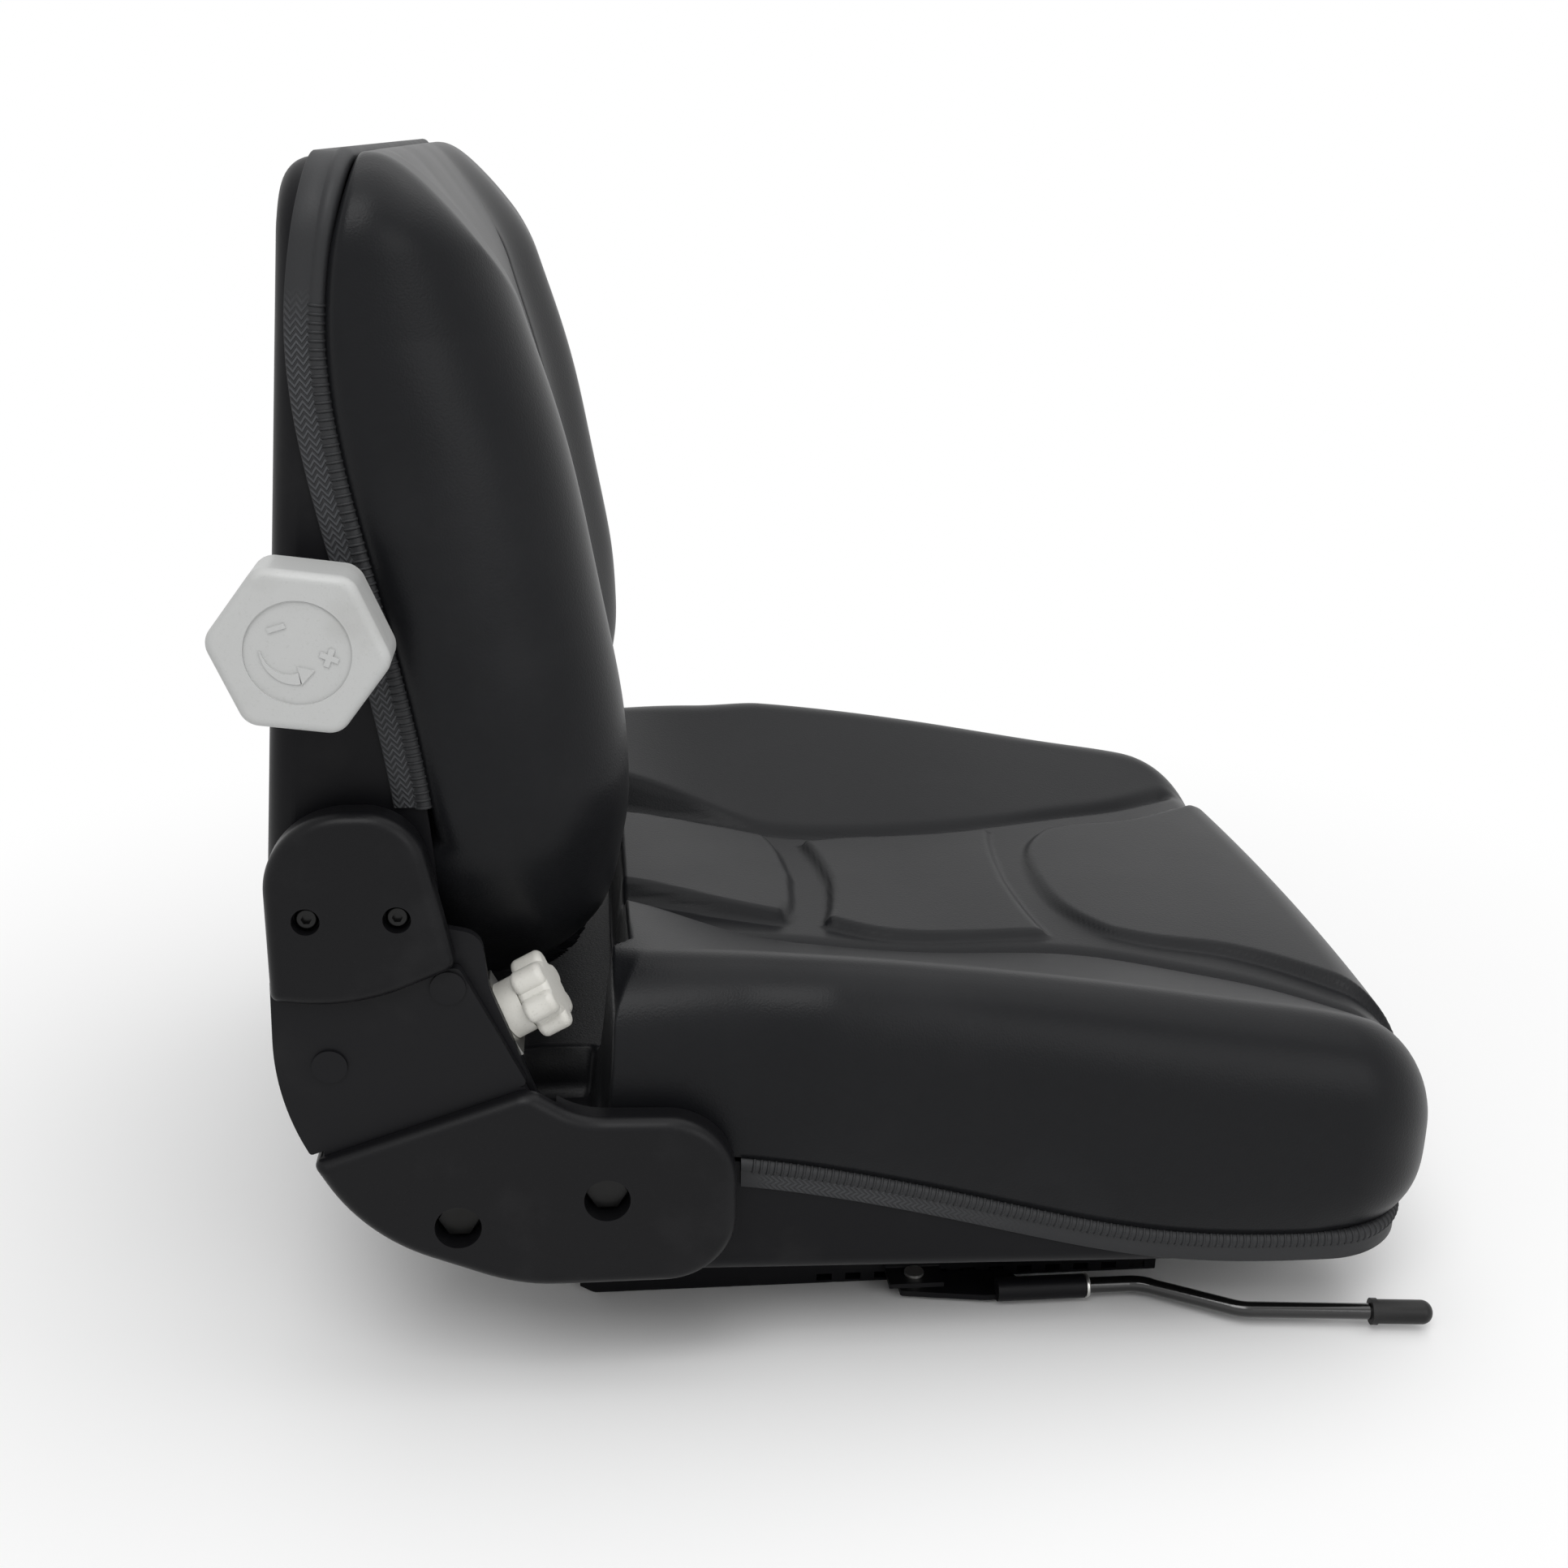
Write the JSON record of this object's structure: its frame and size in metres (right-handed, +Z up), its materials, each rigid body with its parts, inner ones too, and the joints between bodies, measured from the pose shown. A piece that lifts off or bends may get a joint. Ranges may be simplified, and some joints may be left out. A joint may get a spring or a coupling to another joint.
{
  "type": "forklift seat",
  "caption": "Low-back vehicle seat on slide rails, with bolstered cushions in pressed steel pans, a reclining back, a lumbar knob and a slide lever.",
  "frame": {"origin": "centre of the slide rails' four mounting holes, on the undersides of the rails", "axes": "+X forwards, the way the sitter faces; +Y to the sitter's left; +Z up"},
  "size_m": [0.5664, 0.524, 0.554],
  "materials": {
    "zinc_steel": "zinc plated",
    "black_steel": "black paint, satin",
    "arm_steel": "black paint, satin",
    "ball_steel": "polished",
    "cage_plastic": "moulded",
    "upholstery": "smooth black vinyl skin on foam",
    "edging": "ribbed extrusion",
    "cover_plastic": "satin moulded",
    "washer_plastic": "natural nylon",
    "knob_grey": "warm grey, moulded",
    "knob_white": "off-white, fine grain",
    "lever_gloss": "gloss black",
    "grip_black": "moulded"
  },
  "bodies": {
    "base": {"lower_rail_right": "black_steel", "lower_rail_left": "black_steel"},
    "cages": {"rail_balls": "ball_steel", "ball_cage_right": "cage_plastic", "ball_cage_left": "cage_plastic"},
    "seat": {"upper_rail_right": "zinc_steel", "upper_rail_left": "zinc_steel", "seat_pan": "black_steel", "seat_trim": "edging", "seat_cushion": "upholstery", "lower_arm_right": "arm_steel", "lower_arm_left": "arm_steel", "lower_cover_right": "cover_plastic", "lower_cover_left": "cover_plastic", "hinge_pivots": "arm_steel", "hinge_washers": "washer_plastic", "arm_spacers": "zinc_steel", "arm_bolts": "zinc_steel", "rail_bolts": "zinc_steel", "adjuster_bracket": "zinc_steel", "latch_bracket": "black_steel", "latch_rivet": "zinc_steel", "latch_spacer": "zinc_steel"},
    "latch": {"latch_plate": "black_steel", "slide_lever": "lever_gloss", "lever_grip": "grip_black", "lever_clip": "zinc_steel"},
    "back": {"back_pan": "black_steel", "back_trim": "edging", "back_cushion": "upholstery", "upper_arm_right": "arm_steel", "upper_arm_left": "arm_steel", "upper_cover_right": "cover_plastic", "upper_cover_left": "cover_plastic", "stop_studs": "arm_steel", "back_spacers": "zinc_steel", "cover_screws": "zinc_steel", "drive_pin": "zinc_steel", "lumbar_bushes": "washer_plastic", "lumbar_guides": "cage_plastic"},
    "tilt_spindle": {"tilt_knob": "knob_white", "tilt_screw": "zinc_steel"},
    "tilt_nut": {"travelling_nut": "zinc_steel"},
    "lumbar_spindle": {"lumbar_knob": "knob_grey", "lumbar_shaft": "zinc_steel", "lumbar_cams": "washer_plastic", "shaft_clip": "zinc_steel"},
    "lumbar_pad": {"lumbar_plate": "cage_plastic"}
  },
  "joints": [
    {"name": "seat_slide", "type": "slide", "parent": "base", "child": "seat", "axis": [1, 0, 0], "range_m": [-0.075, 0.075]},
    {"name": "cage_roll", "type": "slide", "parent": "base", "child": "cages", "axis": [1, 0, 0], "range_m": [-0.0375, 0.0375]},
    {"name": "latch_turn", "type": "hinge", "parent": "seat", "child": "latch", "pos_m": [0.02, -0.1755, 0.0045], "axis": [0, 0, -1], "range_deg": [-3.3, 6], "stiffness_Nm_per_rad": 0.8},
    {"name": "backrest_recline", "type": "hinge", "parent": "seat", "child": "back", "pos_m": [-0.256, 0, 0.173], "axis": [0, -1, 0], "range_deg": [0, 12]},
    {"name": "tilt_screw_turn", "type": "hinge", "parent": "seat", "child": "tilt_spindle", "pos_m": [-0.164, -0.216, 0.193], "axis": [-0.8829, 0, -0.4695], "range_deg": [0, 648]},
    {"name": "tilt_nut_travel", "type": "slide", "parent": "seat", "child": "tilt_nut", "axis": [0.8829, 0, 0.4695], "range_m": [0, 0.0055]},
    {"name": "lumbar_turn", "type": "hinge", "parent": "back", "child": "lumbar_spindle", "pos_m": [-0.253, 0, 0.368], "axis": [0, 1, 0], "range_deg": [0, 135]},
    {"name": "lumbar_push", "type": "slide", "parent": "back", "child": "lumbar_pad", "axis": [1, 0, 0], "range_m": [0, 0.0101]}
  ],
  "couplings": [
    {"joint": "cage_roll", "follows": "seat_slide", "ratio": 0.5},
    {"joint": "tilt_screw_turn", "follows": "backrest_recline", "ratio": 53.474},
    {"joint": "tilt_nut_travel", "follows": "backrest_recline", "m_per_rad": 0.025532},
    {"joint": "lumbar_push", "follows": "lumbar_turn", "m_per_rad": 0.0042441}
  ]
}
